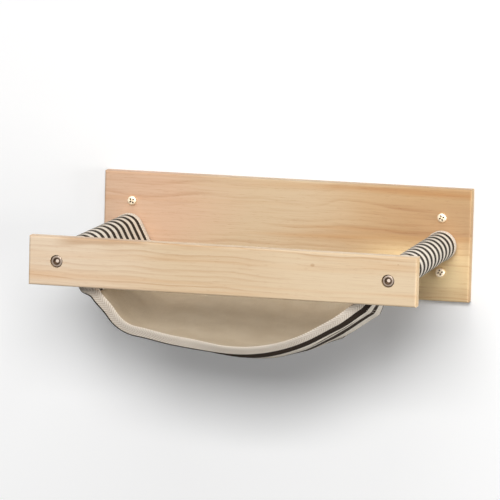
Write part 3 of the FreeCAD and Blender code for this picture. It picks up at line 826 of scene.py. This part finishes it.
screw_low, screw_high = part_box("wall_screws")
screw_length = screw_high[1] - screw_low[1]
pan_radius, pan_height, shank_radius, tip_radius = 0.00525, 0.0032, 0.0025, 0.0005
screw_outline = [(0, 0), (0.0025, 0.00003), (0.0036, 0.00012), (0.0043, 0.0003), (0.0048, 0.0007),
                 (0.0051, 0.0013), (pan_radius, 0.0021), (0.0052, 0.003), (0.005, pan_height),
                 (0.0027, pan_height), (shank_radius, 0.0036)]
coarse_start, coarse_stop, coarse_pitch, coarse_depth = 0.004, screw_length - 0.0003, 0.0022, 0.0007
point_length, coarse_rings_a_turn = 0.007, 6
coarse_rings = round((coarse_stop - coarse_start) / coarse_pitch * coarse_rings_a_turn)
for i in range(coarse_rings + 1):
    depth = coarse_start + (coarse_stop - coarse_start) * i / coarse_rings
    taper = min(1, (screw_length - depth) / point_length)
    screw_outline.append((tip_radius + (shank_radius - tip_radius) * taper, depth))
screw_outline += [(0.0004, screw_length), (0, screw_length)]
screw = lathe("screw", screw_outline, steps=24)
cut_thread(screw, coarse_start, coarse_stop, coarse_pitch, coarse_depth)
cross_span, cross_width, cross_depth, cross_clear = 0.006, 0.0017, 0.0019, 0.0003
cross_mouth, cross_root = (1.12, 1), (0.7, 0.7)
for lean in (0, math.pi / 2):
    bpy.ops.object.select_all(action="DESELECT")
    bpy.ops.mesh.primitive_cube_add(size=1)
    wing = bpy.context.object
    for vertex in wing.data.vertices:
        deep = vertex.co.y > 0
        width, thick = cross_root if deep else cross_mouth
        vertex.co = (vertex.co.x * cross_span * width, cross_depth if deep else -cross_clear,
                     vertex.co.z * cross_width * thick)
    wing.data.transform(Matrix.Rotation(lean, 4, "Y"))
    cut_out(screw, wing)
bpy.ops.object.shade_smooth_by_angle(angle=math.radians(35))
screw_out, screw_up = screw_high[0] - pan_radius, screw_high[2] - pan_radius


def screw_painted_shade(place):
    """Painted shade in the cross recess, all but its centre, and at the head's outer edge."""
    out = from_axis(place, screw_out, screw_up)
    recess = (place.axis(1) - screw_low[1]).rise(0.0003, 0.0006) * (1 - out.rise(0.0034, 0.0038))
    return recess * out.rise(0.001, 0.0015) * 0.95 + out.rise(0.0049, 0.0054) * 0.4


screw.data.materials.append(metal("zinc_plate", (252, 234, 206), rough=0.5, mottle=500, grit=3200,
                                  painted_shade=screw_painted_shade))
for name, across, up, spin in (("left_upper", -1, 1, 0.9), ("left_lower", -1, -1, 0.2),
                               ("right_upper", 1, 1, 1.2), ("right_lower", 1, -1, -0.26)):
    set_in_place(screw, "wall_screw_" + name, "wall_screws", 0, spin,
                 (across * screw_out, screw_low[1], up * screw_up))
bpy.data.objects.remove(screw, do_unlink=True)

# Wall and floor: a white wall that the board is screwed to and a pale floor well below it. Both are clear
# from behind, so that the object shows from there, and they neither throw light on it nor keep any off.


def seen_rays(place):
    """1 for the rays of the camera, of reflections and through clear surfaces, and 0 for all others."""
    camera, glossy, through = [place.node("ShaderNodeLightPath", {}, {}, "Is %s Ray" % kind)
                               for kind in ("Camera", "Glossy", "Transmission")]
    return camera.math("MAXIMUM", camera, glossy.math("MAXIMUM", glossy, through))


wall_gap, wall_half, floor_drop, wall_white, floor_grey, glow = 0.0005, 3, 0.75, 0.97, 0.86, 0.07
bpy.ops.object.select_all(action="DESELECT")
bpy.ops.mesh.primitive_plane_add(size=2 * wall_half, location=(0, wall_gap, 0),
                                 rotation=(math.pi / 2, 0, 0))
wall = bpy.context.object
wall.name = "wall"
bpy.ops.object.select_all(action="DESELECT")
bpy.ops.mesh.primitive_plane_add(size=2 * wall_half, location=(0, 0, -floor_drop))
floor = bpy.context.object
floor.name = "floor"
for surface, grey in ((wall, wall_white), (floor, floor_grey)):
    paint, paint_shader, paint_place = new_finish(surface.name + "_paint", {
        "Base Color": (grey, grey, grey, 1), "Roughness": 0.9, "Specular IOR Level": 0,
        "Emission Strength": glow})
    rays = seen_rays(paint_place)
    rays.to(paint_shader, "Emission Color")
    behind = rays.node("ShaderNodeNewGeometry", {}, {}, "Backfacing")
    clear = rays.node("ShaderNodeBsdfTransparent", {}, {})
    seen = rays.node("ShaderNodeMixShader", {}, {0: behind, 1: Shade(rays.tree, paint_shader.outputs[0]),
                                                 2: clear})
    seen.to(paint.node_tree.nodes["Material Output"], "Surface")
    surface.data.materials.append(paint)
    surface.visible_shadow = False
    surface.visible_diffuse = False

# Light: a large soft panel far in front, high and to the right, throws the shadow on the wall. Weaker
# ones above, at the right and behind lift the tops, the right ends and the rear. The room is dim, but
# white to the camera and in reflections.


def soft_panel(name, place, aim, width, height, power):
    """An area lamp at a place, turned to an aim, its sizes in metres and its power in watts."""
    lamp = bpy.data.lights.new(name, "AREA")
    lamp.shape = "RECTANGLE"
    lamp.size, lamp.size_y = width, height
    lamp.energy = power
    holder = bpy.data.objects.new(name, lamp)
    holder.location = place
    holder.visible_camera = False
    holder.rotation_euler = (Vector(aim) - Vector(place)).to_track_quat("-Z", "Y").to_euler()
    bpy.context.scene.collection.objects.link(holder)


soft_panel("front_light", (0.62, -4.86, 1.72), (0, -0.1, 0), width=1.95, height=1.35, power=190)
soft_panel("top_light", (0, -0.7, 2.2), (0, -0.15, 0), width=1.6, height=1.2, power=17)
soft_panel("side_light", (2.9, -0.6, 0), (0, -0.15, 0), width=1.6, height=1.2, power=48)
soft_panel("rear_light", (0.3, 2.2, 0.9), (0, -0.1, 0), width=1.6, height=1.2, power=26)
dim = 0.12
room = bpy.data.worlds.new("room")
bpy.context.scene.world = room
room.use_nodes = True
background = room.node_tree.nodes["Background"]
bright = seen_rays(Shade(room.node_tree))
(dim + bright * (1 - dim)).to(background, "Color")
bpy.context.scene.view_settings.view_transform = "Standard"

# Camera: a long lens at the right of straight ahead and a little above, rolled so that the boards fall
# off slightly towards the right. Its aim is shifted from the object's middle, as in the photograph.

azimuth, elevation, roll = math.radians(13.371), math.radians(7.846), math.radians(1.484)
distance, lens, shift_right, shift_up = 4.519, 314.73, -0.005751, 0.002243
back = Vector((math.sin(azimuth) * math.cos(elevation), -math.cos(azimuth) * math.cos(elevation),
               math.sin(elevation)))
level = Vector((math.cos(azimuth), math.sin(azimuth), 0))
upright = back.cross(level)
right_way = math.cos(roll) * level + math.sin(roll) * upright
up_way = math.cos(roll) * upright - math.sin(roll) * level
aim = Vector((0, -0.15, 0)) + shift_right * right_way + shift_up * up_way
eye = bpy.data.cameras.new("eye")
eye.lens = lens
eye.sensor_width = 36
eye.clip_end = 50
camera = bpy.data.objects.new("camera", eye)
camera.matrix_world = Matrix((right_way, up_way, back)).transposed().to_4x4()
camera.location = aim + back * distance
bpy.context.scene.collection.objects.link(camera)
bpy.context.scene.camera = camera
